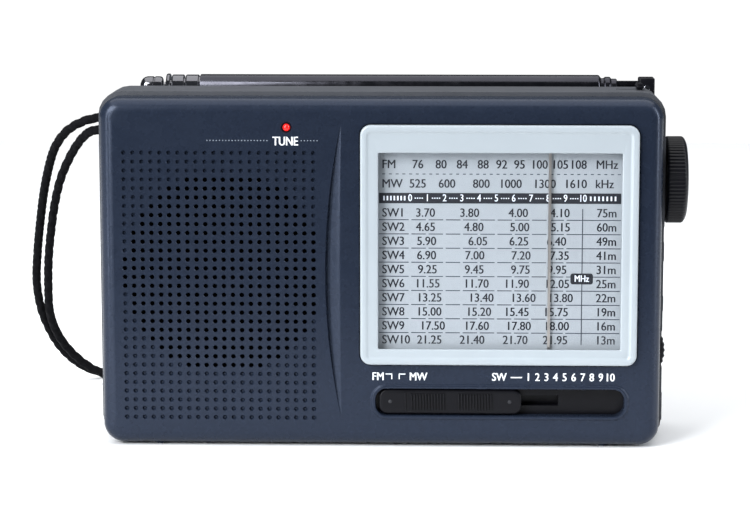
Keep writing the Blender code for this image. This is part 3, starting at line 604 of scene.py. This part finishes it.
def crescent(bm):
    """The scooped crescent between grille and dial; returns its rim as one loop."""
    shares = (0.0, 0.02, 0.05, 0.09, 0.13, 0.17, 0.22, 0.30, 0.40, 0.52, 0.64, 0.76, 0.88, 1.0)
    rows = list(crescent_rows())
    grid = []
    for z, edge in rows[1:-1]:
        width = FADE_X - edge
        depth = 0.30 * width
        line = []
        for share in shares:
            drop = smooth(share / 0.15) * (1.0 - max(share - 0.15, 0.0) / 0.85) ** 1.25 * depth
            line.append(bm.verts.new(point(edge + width * share, FRONT_Y + drop, z)))
        grid.append(line)
    low = bm.verts.new(point(FADE_X, FRONT_Y, rows[0][0]))
    high = bm.verts.new(point(FADE_X, FRONT_Y, rows[-1][0]))
    for first, second in zip(grid, grid[1:]):
        for k in range(len(shares) - 1):
            bm.faces.new([first[k], first[k + 1], second[k + 1], second[k]])
    for k in range(len(shares) - 1):
        bm.faces.new([low, grid[0][k + 1], grid[0][k]])
        bm.faces.new([high, grid[-1][k], grid[-1][k + 1]])
    return [low, *[line[-1] for line in grid], high, *[line[0] for line in reversed(grid)]]


def front_shell():
    bm = bmesh.new()
    low, high = (-FRONT_HALF, FRONT_LOW), (FRONT_HALF, FRONT_TOP)
    notch = (14.3, 14.7, 25.3, 25.7)
    wheel_notch = lambda x, z: -8.1 if x > 50 and 14.5 < z < 25.5 else FRONT_BACK

    def outline(by, corner):
        return rounded(*inset(low, high, by), corner, 12, notch)

    rim = []
    for step in range(9):
        angle = math.radians(90 * step / 8)
        by = FRONT_ROUND * (1 - math.sin(angle))
        rim.append(ring(bm, outline(by, FRONT_CORNER - by), FRONT_Y + FRONT_ROUND * (1 - math.cos(angle))))
    rim.append(ring(bm, outline(0.0, FRONT_CORNER), lambda x, z: wheel_notch(x, z) - 0.35))
    rim.append(ring(bm, outline(0.12, FRONT_CORNER - 0.12), lambda x, z: wheel_notch(x, z) - 0.1))
    rim.append(ring(bm, outline(0.35, FRONT_CORNER - 0.35), wheel_notch))
    rim.append(ring(bm, outline(FRONT_WALL, CAVITY_CORNER), wheel_notch))
    rim.append(ring(bm, outline(FRONT_WALL, CAVITY_CORNER), INNER_Y))
    bridge_all(bm, rim)
    front_holes, inner_holes = [], []

    pocket_low, pocket_high = inset(BEZEL_LOW, BEZEL_HIGH, -0.3)
    opening = ((-3.3, 18.9), (52.95, 67.7))
    pocket = [ring(bm, rounded(pocket_low, pocket_high, 2.5), FRONT_Y),
              ring(bm, rounded(pocket_low, pocket_high, 2.5), BEZEL_BACK + 0.3),
              ring(bm, rounded(*opening, 0.6), BEZEL_BACK + 0.3),
              ring(bm, rounded(*opening, 0.6), INNER_Y)]
    bridge_all(bm, pocket)
    front_holes.append(pocket[0])
    inner_holes.append(pocket[-1])

    slot = [ring(bm, rounded(*inset(SLOT_RIM_LOW, SLOT_RIM_HIGH, by), 3.2 - by), y)
            for by, y in ((-0.25, FRONT_Y), (-0.10, FRONT_Y - 0.06), (0.0, FRONT_Y - 0.18),
                          (0.10, SLOT_RIM_Y + 0.04), (0.25, SLOT_RIM_Y), (0.55, SLOT_RIM_Y))]
    slot += [ring(bm, rounded(*inset(SLOT_LOW, SLOT_HIGH, by), 2.4 - by), y)
             for by, y in ((0.0, SLOT_RIM_Y + 0.05), (0.08, SLOT_RIM_Y + 0.25), (0.1, INNER_Y))]
    bridge_all(bm, slot)
    front_holes.append(slot[0])
    inner_holes.append(slot[-1])

    led = [ring(bm, circle(LED_X, LED_Z, radius, 20), y)
           for radius, y in ((1.2, FRONT_Y), (1.08, FRONT_Y + 0.1), (1.05, INNER_Y))]
    bridge_all(bm, led)
    front_holes.append(led[0])
    inner_holes.append(led[-1])

    for x, z, through in grille_places():
        if through:
            hole = [ring(bm, circle(x, z, radius, HOLE_SIDES), y)
                    for radius, y in ((HOLE_R + 0.07, FRONT_Y), (HOLE_R, FRONT_Y + 0.08), (HOLE_R, INNER_Y))]
            inner_holes.append(hole[-1])
        else:
            hole = [ring(bm, circle(x, z, radius, HOLE_SIDES), y)
                    for radius, y in ((HOLE_R + 0.05, FRONT_Y), (HOLE_R - 0.04, FRONT_Y + 0.10),
                                      (HOLE_R - 0.16, FRONT_Y + 0.42), (HOLE_R - 0.30, FRONT_Y + 0.55))]
            bm.faces.new(hole[-1])
        bridge_all(bm, hole)
        front_holes.append(hole[0])

    front_holes.append(crescent(bm))
    scatter = [(x, z) for x in (-56.0, -14.0, -5.9) for z in range(4, 72, 4)]
    sheet_with_holes(bm, FRONT_Y, rim[0], front_holes, scatter)
    sheet_with_holes(bm, INNER_Y, rim[-1], inner_holes)
    for side in (-1, 1):
        bevelled_box(bm, (47.0 * side - 0.7, -11.5, 0.0), (47.0 * side + 0.7, -8.5, 1.2), 0.2)
    shell = add_piece("front_shell_pierced", bm, "navy_shell", replaces=["front_shell"], angle=38)
    weigh = shell.modifiers.new("even_shading", "WEIGHTED_NORMAL")
    weigh.weight, weigh.keep_sharp = 100, True


# ---------------------------------------------------------------- lettering

def lettering(name, items, y, material, slot="black_plastic", body="case", thickness=0.03):
    """Printed characters as thin solid shapes: (text, x, z, cap height, width, weight, align).

    A weight prints every character twice, a little to each side, which thickens its stems."""
    places = []
    for text, x, z, height, squeeze, weight, align in items:
        data = bpy.data.curves.new("glyph", "FONT")
        data.body, data.align_x, data.align_y = text, align, "CENTER"
        data.extrude, data.resolution_u = 0.01, 3
        obj = bpy.data.objects.new("glyph", data)
        bpy.context.scene.collection.objects.link(obj)
        places.append((obj, x, z, height, squeeze, weight))
    bpy.context.view_layer.update()
    graph = bpy.context.evaluated_depsgraph_get()
    bm = bmesh.new()
    for obj, x, z, height, squeeze, weight in places:
        tall = height / 0.70
        for shift in (-weight * tall, weight * tall):
            mesh = bpy.data.meshes.new_from_object(obj.evaluated_get(graph))
            front = y - thickness - (0.003 if shift > 0 else 0.0)
            for vert in mesh.vertices:
                px, py, pz = vert.co
                vert.co = point(x + shift + px * tall * squeeze, front if pz > 0 else y, z + py * tall)
            bm.from_mesh(mesh)
            bpy.data.meshes.remove(mesh)
    for obj, *_ in places:
        data = obj.data
        bpy.data.objects.remove(obj)
        bpy.data.curves.remove(data)
    bmesh.ops.remove_doubles(bm, verts=bm.verts, dist=1e-8)
    bmesh.ops.dissolve_degenerate(bm, edges=bm.edges, dist=1e-7)
    return add_piece(name, bm, slot, body, material=material, angle=20)


def bar(bm, x0, x1, z0, z1, y, thickness=0.03, corner=0.0):
    """A flat printed bar."""
    if corner:
        front = ring(bm, rounded((x0, z0), (x1, z1), corner, 5), y - thickness)
        back = ring(bm, rounded((x0, z0), (x1, z1), corner, 5), y)
    else:
        loop = [(x0, z0), (x1, z0), (x1, z1), (x0, z1)]
        front, back = ring(bm, loop, y - thickness), ring(bm, loop, y)
    bridge(bm, front, back)
    bm.faces.new(front)
    bm.faces.new(back)


SCALE_ZERO, SCALE_STEP = 6.2, 3.61
SHORT_WAVE = (
    ("3.70", 9.4, "3.80", 18.65, "4.00", 28.86, "4.10", 37.57, "75m"),
    ("4.65", 9.48, "4.80", 19.58, "5.00", 29.16, "5.15", 37.72, "60m"),
    ("5.90", 9.67, "6.05", 20.44, "6.25", 29.04, "6.40", 36.9, "49m"),
    ("6.90", 9.67, "7.00", 19.8, "7.20", 29.49, "7.35", 37.57, "41m"),
    ("9.25", 9.89, "9.45", 19.73, "9.75", 29.42, "9.95", 37.09, "31m"),
    ("11.55", 9.89, "11.70", 20.14, "11.90", 28.6, "12.05", 37.09, "25m"),
    ("13.25", 10.3, "13.40", 21.19, "13.60", 30.02, "13.80", 37.84, "22m"),
    ("15.00", 10.23, "15.20", 20.7, "15.45", 28.67, "15.75", 36.9, "19m"),
    ("17.50", 10.98, "17.60", 20.25, "17.80", 29.08, "18.00", 37.09, "16m"),
    ("21.25", 10.34, "21.40", 19.32, "21.70", 28.41, "21.95", 36.83, "13m"))
ROW_TOP, ROW_STEP = 49.94, 3.004


def dial_printing():
    y = PLATE_FRONT
    cap, squeeze, weight = 1.82, 0.92, 0.016
    dark = [("FM", 0.25, 60.14, cap, squeeze, weight, "LEFT"),
            ("MW", 0.25, 56.08, cap, squeeze, weight, "LEFT"),
            ("MHz", 47.26, 60.14, cap, squeeze, weight, "CENTER"),
            ("kHz", 46.8, 56.08, cap, squeeze, weight, "CENTER")]
    for text, x in (("76", 7.8), ("80", 12.66), ("84", 17.07), ("88", 21.45), ("92", 25.3), ("95", 29.04),
                    ("100", 33.16), ("105", 37.46), ("108", 41.28)):
        dark.append((text, x, 60.14, cap, squeeze, weight, "CENTER"))
    for text, x in (("525", 7.8), ("600", 13.89), ("800", 21.08), ("1000", 27.17), ("1300", 34.28),
                    ("1610", 40.75)):
        dark.append((text, x, 56.08, cap, squeeze, weight, "CENTER"))
    for number, row in enumerate(SHORT_WAVE):
        z = ROW_TOP - ROW_STEP * number
        dark.append((f"SW{number + 1}", 0.3, z, cap, squeeze, weight, "LEFT"))
        for text, x in zip(row[0:8:2], row[1:8:2]):
            dark.append((text, x, z, cap, squeeze, weight, "CENTER"))
        dark.append((row[8], 47.35, z, cap, squeeze, weight, "CENTER"))
    lettering("dial_figures", dark, y, BLACK_INK)

    bm = bmesh.new()
    bar(bm, -0.3, 50.3, 51.99, 54.19, y)
    bar(bm, 39.9, 44.6, 34.95, 37.25, y - 0.03, corner=0.5)
    add_piece("dial_bands", bm, "black_plastic", material=BLACK_INK, angle=20)

    bm = bmesh.new()
    for number in range(9):
        z = ROW_TOP - ROW_STEP * (number + 0.475)
        bar(bm, -0.3, SCALE_ZERO - 0.28, z - 0.09, z + 0.09, y)
        for unit in range(9):
            left = SCALE_ZERO + SCALE_STEP * unit
            bar(bm, left + 0.28, left + SCALE_STEP - 0.28, z - 0.09, z + 0.09, y)
        bar(bm, SCALE_ZERO + SCALE_STEP * 9 + 0.28, 50.3, z - 0.09, z + 0.09, y)
    for number in range(36):
        left = 0.35 + 1.405 * number
        bar(bm, left, left + 0.62, 58.08, 58.26, y)
    bar(bm, 42.21, 42.39, 22.0, 50.9, y - 0.015)
    add_piece("dial_rules", bm, "black_plastic", material=SOFT_BLACK_INK, angle=20)

    pale = [(str(unit), SCALE_ZERO + SCALE_STEP * unit, 53.09, 1.5, 0.80, 0.012, "CENTER")
            for unit in range(11)]
    pale.append(("MHz", 42.25, 36.1, 1.4, 0.8, 0.020, "CENTER"))
    lettering("dial_scale_figures", pale, y - 0.035, WHITE_INK, "white_plastic", thickness=0.035)
    bm = bmesh.new()
    for number in range(7):
        for left in (5.05 - 0.72 * number, 43.95 + 0.86 * number):
            wide = 0.34
            bar(bm, left - wide / 2, left + wide / 2, 52.6, 53.55, y - 0.03)
    for unit in range(10):
        for mark in range(4):
            left = SCALE_ZERO + SCALE_STEP * (unit + 0.3 + 0.135 * mark)
            bar(bm, left - 0.14, left + 0.14, 52.98, 53.2, y - 0.03)
    add_piece("dial_scale_ticks", bm, "white_plastic", material=WHITE_INK, angle=20)


def shell_printing():
    y = FRONT_Y
    bold = 0.018
    words = [("TUNE", -19.82, 65.05, 1.85, 0.78, bold, "CENTER"),
             ("FM", 0.84, 15.25, 1.7, 0.86, bold, "RIGHT"), ("MW", 6.1, 15.25, 1.7, 0.86, bold, "LEFT"),
             ("SW", 25.07, 15.25, 1.7, 0.86, bold, "CENTER")]
    for number in range(10):
        words.append((str(number + 1), 31.22 + 1.905 * number, 15.25, 1.7, 0.86,
                      bold, "CENTER"))
    lettering("shell_words", words, y, WHITE_INK, "white_plastic")
    bm = bmesh.new()
    bar(bm, 27.5, 29.9, 15.1, 15.35, y)
    for start, stop, leg in ((1.1, 2.42, 2.42), (3.99, 5.3, 3.99)):
        bar(bm, start, stop, 15.75, 15.95, y)
        bar(bm, leg - 0.1, leg + 0.1, 14.75, 15.95, y - 0.002)
    add_piece("shell_index_lines", bm, "white_plastic", material=WHITE_INK, angle=20)
    bm = bmesh.new()
    for start, stop in ((-36.2, -22.6), (-16.5, -12.0)):
        count = int((stop - start) / 0.66)
        for number in range(count):
            x = start + 0.66 * number
            bar(bm, x - 0.11, x + 0.11, 65.15, 65.37, y)
    add_piece("shell_dots", bm, "white_plastic", material=GREY_INK, angle=20)


# ---------------------------------------------------------------- dial

def bezel():
    bm = bmesh.new()
    outer = [(0.0, BEZEL_BACK), (0.0, -14.75), (0.05, -14.95), (0.18, -15.11), (0.38, -15.18),
             (0.62, BEZEL_FRONT),
             (1.0, BEZEL_FRONT), (1.2, -15.17), (1.38, -15.08), (1.55, -14.95), (1.75, -14.87), (2.0, -14.85)]
    rings = [ring(bm, rounded(*inset(BEZEL_LOW, BEZEL_HIGH, by), max(2.2 - by, 0.5), 10), y)
             for by, y in outer]
    rings += [ring(bm, rounded(*inset(WINDOW_LOW, WINDOW_HIGH, by), max(0.6 - by, 0.25) * 0.5, 10), y)
              for by,
              y in ((-0.28, -14.85), (-0.12, -14.80), (-0.03, -14.68), (0.0, -14.5), (0.0, -14.5 + 0.05),
                            (0.0, LENS_Y[0] - 0.3), (-1.4, LENS_Y[0] - 0.3), (-1.4, BEZEL_BACK))]
    rings.append(rings[0])
    bridge_all(bm, rings)
    add_piece("dial_frame", bm, "silver_frame", replaces=["display_bezel"], angle=40)


def lens():
    bm = bmesh.new()
    bevelled_box(bm, (WINDOW_LOW[0] - 1.1, LENS_Y[0], WINDOW_LOW[1] - 1.1),
                 (WINDOW_HIGH[0] + 1.1, LENS_Y[1], WINDOW_HIGH[1] + 1.1), 0.1, 1)
    add_piece("dial_window", bm, "clear_lens", replaces=["dial_lens"])


# ---------------------------------------------------------------- controls

def band_slider():
    """The long slider: two groups of fine ribs with a plain gap between, and two index dots."""
    bm = bmesh.new()
    low, high = (-0.3, 7.2), (29.8, 12.5)
    rings = [ring(bm, rounded(*inset(low, high, by), 1.8 - by, 8), y)
             for by,
             y in ((0.0, -12.1), (0.0, -13.45), (0.08, -13.62), (0.25, -13.74), (0.5, -13.78), (1.0, -13.78))]
    bm.faces.new(rings[0])
    bridge_all(bm, rings)
    bm.faces.new(rings[-1])
    bevelled_box(bm, (13.3, -12.6, 9.2), (16.2, -9.4, 10.5), 0.15)
    add_piece("band_slider_body", bm, "black_plastic", "band", replaces=["band_slider"], angle=40)
    bm = bmesh.new()
    for start, stop in ((6.62, 13.2), (16.6, 23.7)):
        count = round((stop - start) / 0.62)
        for number in range(count + 1):
            x = start + 0.62 * number
            bevelled_box(bm, (x - 0.17, -14.15, 8.1), (x + 0.17, -13.6, 11.6), 0.11)
    bevelled_box(bm, (5.2, -13.95, 7.95), (5.5, -13.6, 11.75), 0.08)
    add_piece("band_slider_ribs", bm, "black_plastic", "band", angle=40)
    bm = bmesh.new()
    for x in (2.1, 27.3):
        lathe(bm, (x, 0, 9.9), "y",
              [(0.0, -13.90), (0.22, -13.89), (0.36, -13.84), (0.4, -13.76), (0.0, -13.7)],
              20)
    add_piece("band_slider_dots", bm, "black_plastic", "band", material=BLACK_INK, angle=40)


def tuning_knob():
    inner, outer = KNOB_X
    ribs = 72

    def knurl(angle, radius, position):
        if radius < KNOB_R - 0.3 or position < inner + 0.35 or position > outer - 0.75:
            return 0.0
        return -0.16 * (0.5 - 0.5 * math.cos(ribs * angle))

    profile = [(0.0, outer + 0.24), (3.0, outer + 0.22), (5.6, outer + 0.16), (6.2, outer + 0.02),
               (6.6, outer + 0.02),
               (7.2, outer + 0.12), (8.0, outer + 0.02), (8.6, outer - 0.22), (9.05, outer - 0.55),
               (KNOB_R, outer - 0.9),
               (KNOB_R, outer - 1.2), (KNOB_R, outer - 2.4), (KNOB_R, inner + 0.6), (KNOB_R, inner + 0.4),
               (KNOB_R - 0.3, inner + 0.1), (KNOB_R - 0.9, inner), (2.3, inner), (2.3, inner + 3.0),
               (0.0, inner + 3.0)]
    bm = bmesh.new()
    lathe(bm, (0, 0, TUNE_Z), "x", profile, ribs * 6, knurl)
    add_piece("tuning_knob_knurled", bm, "black_plastic", "tuning", replaces=["tuning_knob"], angle=50)


def volume_wheel():
    ribs = 40
    front, back = WHEEL_Y

    def knurl(angle, radius, position):
        return -0.22 * (0.5 - 0.5 * math.cos(ribs * angle)) if radius > WHEEL_R - 0.25 else 0.0

    bm = bmesh.new()
    lathe(bm, (WHEEL_X, 0, WHEEL_Z), "y",
          [(0.0, back), (5.8, back), (6.1, back - 0.15), (WHEEL_R - 0.6, back - 0.05),
           (WHEEL_R - 0.15, back - 0.25),
           (WHEEL_R, back - 0.5), (WHEEL_R, front + 0.5), (WHEEL_R - 0.15, front + 0.25),
           (WHEEL_R - 0.6, front + 0.05), (6.1, front + 0.15), (5.8, front), (0.0, front)], ribs * 6, knurl)
    add_piece("volume_wheel_knurled", bm, "black_plastic", "volume", replaces=["volume_wheel"], angle=50)


def power_slide():
    bm = bmesh.new()
    bevelled_box(bm, (54.0, -0.8, 75.1), (55.6, 4.8, 75.75), 0.15)
    for number in range(5):
        y = -0.1 + 1.05 * number
        bevelled_box(bm, (54.15, y - 0.2, 75.65), (55.45, y + 0.2, 76.1), 0.12)
    bevelled_box(bm, (54.2, 1.5, 72.7), (55.4, 2.5, 75.4), 0.1)
    add_piece("power_slide_ribbed", bm, "black_plastic", "power", replaces=["power_switch_knob"], angle=40)


# ---------------------------------------------------------------- antenna

def turned_piece(name, profile, slot, body, replaces, steps=40, centre=(0, ROD_Y, ROD_Z), axis="x",
                 closed=False):
    bm = bmesh.new()
    rings = lathe(bm, centre, axis, profile, steps)
    if closed:
        bridge(bm, rings[-1], rings[0])
    return add_piece(name, bm, slot, body, replaces=replaces, angle=28)


def antenna():
    left, right = BARREL_X
    bm = bmesh.new()
    lathe(bm, (0, ROD_Y, ROD_Z), "x",
          [(0.0, 50.6), (1.7, 50.6), (1.9, 50.4), (1.9, 49.4), (2.15, 49.2), (2.3, 49.0), (2.3, 48.1),
           (2.15, 47.85),
           (2.0, 47.7), (2.0, 47.2), (2.4, 46.9), (2.65, 46.65), (2.7, 46.5), (2.7, left + 0.25),
           (2.62, left + 0.05),
           (2.5, left), (2.45, left + 0.1), (2.45, right - 1.5), (0.0, right - 1.5)], 48)
    add_piece("antenna_outer_tube", bm, "dark_chrome", "barrel", angle=28)
    bm = bmesh.new()
    x0, x1, half = 49.9, 57.0, 1.4
    outline = [(x0, ROD_Z - half), (x1 - 1.2, ROD_Z - half)]
    outline += [(x1 + 1.5 * math.sin(a), ROD_Z - 1.5 * math.cos(a))
                for a in (math.radians(-30 + 240 * k / 16) for k in range(17))]
    outline += [(x1 - 1.2, ROD_Z + half), (x0, ROD_Z + half)]
    near = ring(bm, outline, ROD_Y - 0.7)
    far = ring(bm, outline, ROD_Y + 0.7)
    bridge(bm, near, far)
    hole = [ring(bm, circle(x1, ROD_Z, 1.0, 16), y) for y in (ROD_Y - 0.7, ROD_Y + 0.7)]
    bridge(bm, *hole)
    sheet_with_holes(bm, ROD_Y - 0.7, near, [hole[0]])
    sheet_with_holes(bm, ROD_Y + 0.7, far, [hole[1]])
    tongue = add_piece("antenna_tongue", bm, "dark_chrome", "barrel", angle=30)
    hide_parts("antenna_barrel")

    sleeves = ((2.3, 2.05, 2.6, -40.1, -43.0), (1.9, 1.65, 2.6, -43.3, -46.0), (1.5, 1.25, 2.8, -46.3, -47.2))
    for number, (outer, inner, sleeve, start, end) in enumerate(sleeves, 1):
        far_end = 43.6 - number
        turned_piece(f"antenna_tube_{number}",
                     [(outer, far_end), (outer, start), (sleeve - 0.15, start), (sleeve, start - 0.15),
                      (sleeve, end + 0.3), (sleeve - 0.12, end + 0.08), (sleeve - 0.3, end),
                      (inner, end), (inner, far_end)],
                     "chrome", f"section_{number}", [f"antenna_section_{number}"], closed=True)
    turned_piece("antenna_rod_4", [(0.0, 39.0), (0.9, 39.0), (1.0, 38.9), (1.0, -47.7), (0.0, -47.7)],
                 "chrome",
                 "section_4", ["antenna_section_4"], 28)
    turned_piece("antenna_tip_cap",
                 [(0.0, -48.0), (1.7, -48.0), (1.95, -48.1), (2.12, -48.35), (2.2, -48.7), (2.2, -49.6),
                  (2.05, -49.75),
                  (2.05, -49.95), (2.2, -50.1), (2.2, -51.3), (2.08, -51.8), (1.8, -52.3), (1.3, -52.7),
                  (0.7, -52.92),
                  (0.0, -53.0)], "chrome", "section_4", ["antenna_tip"], 40)


def antenna_fork():
    """The swivel block: two cheeks on a round foot, with a chrome pin right across."""
    bm = bmesh.new()
    x0, x1 = 55.3, 58.7
    for y0, y1 in ((ROD_Y - 2.2, ROD_Y - 1.0), (ROD_Y + 1.0, ROD_Y + 2.2)):
        bevelled_box(bm, (x0, y0, 71.7), (x1, y1, 76.6), 0.32, 3)
    bevelled_box(bm, (x0, ROD_Y - 2.2, 71.7), (x1, ROD_Y + 2.2, 72.5), 0.15)
    lathe(bm, (57.0, ROD_Y, 0), "z", [(0.0, 72.4), (1.2, 72.4), (1.2, 67.8), (1.1, 67.7), (0.0, 67.7)], 24)
    add_piece("antenna_fork", bm, "black_plastic", "swivel", replaces=["antenna_base"], angle=40)
    turned_piece("antenna_cross_pin",
                 [(0.0, ROD_Y - 2.32), (0.45, ROD_Y - 2.3), (0.66, ROD_Y - 2.2), (0.7, ROD_Y - 2.05),
                  (0.7, ROD_Y + 2.05), (0.66, ROD_Y + 2.2), (0.45, ROD_Y + 2.3), (0.0, ROD_Y + 2.32)],
                 "chrome", "swivel", ["antenna_pin"], 24, (57.0, 0, ROD_Z), "y")


# ---------------------------------------------------------------- small parts

def indicator():
    turned_piece("tuning_led_dome",
                 [(0.0, -11.2), (0.75, -11.2), (0.75, -13.85), (0.68, -14.15), (0.5, -14.36), (0.26, -14.47),
                  (0.0, -14.5)], "red_led", "case", ["tuning_led"], 24, (LED_X, 0, LED_Z), "y")
    turned_piece("tuning_led_collar",
                 [(1.02, -11.9), (1.02, -13.9), (0.96, -13.98), (0.8, -13.98), (0.8, -11.9)],
                 "black_plastic", "case", (), 24, (LED_X, 0, LED_Z), "y", closed=True)


def speaker_cloth():
    bm = bmesh.new()
    lathe(bm, (SPEAKER_X, 0, SPEAKER_Z), "y",
          [(0.0, -11.98), (22.6, -11.98), (22.6, -11.86), (0.0, -11.86)], 64)
    add_piece("speaker_cloth", bm, "paper_cone", material=CLOTH)


def screws():
    for number, (x, z) in enumerate(((-52.0, 62.0), (47.0, 62.0), (-52.0, 24.0), (52.0, 24.0)), 1):
        bm = bmesh.new()
        arm, reach, floor, face = 0.28, 1.15, 13.45, 13.86
        cross = [(arm, reach), (-arm, reach), (-arm, arm), (-reach, arm), (-reach, -arm), (-arm, -arm),
                 (-arm, -reach), (arm, -reach), (arm, -arm), (reach, -arm), (reach, arm), (arm, arm)]
        shape = [(x + a, z + b) for a, b in cross]
        rings = lathe(bm, (x, 0, z), "y",
                      [(1.75, face), (1.98, face - 0.08), (2.1, 13.6), (2.1, 13.0), (1.1, 13.0),
                                           (1.1, 3.5), (0.4, 2.0), (0.0, 2.0)], 36)
        mouth = ring(bm, shape, face)
        base = ring(bm, shape, floor)
        bridge(bm, mouth, base)
        bm.faces.new(base)
        sheet_with_holes(bm, face, rings[0], [mouth])
        add_piece(f"case_screw_cross_{number}", bm, "steel", replaces=[f"case_screw_{number}"], angle=30)


add_camera()
wrist_strap()
add_stage()
dress_nodes()
front_shell()
shell_printing()
bezel()
lens()
dial_printing()
band_slider()
tuning_knob()
volume_wheel()
power_slide()
antenna()
antenna_fork()
indicator()
speaker_cloth()
screws()
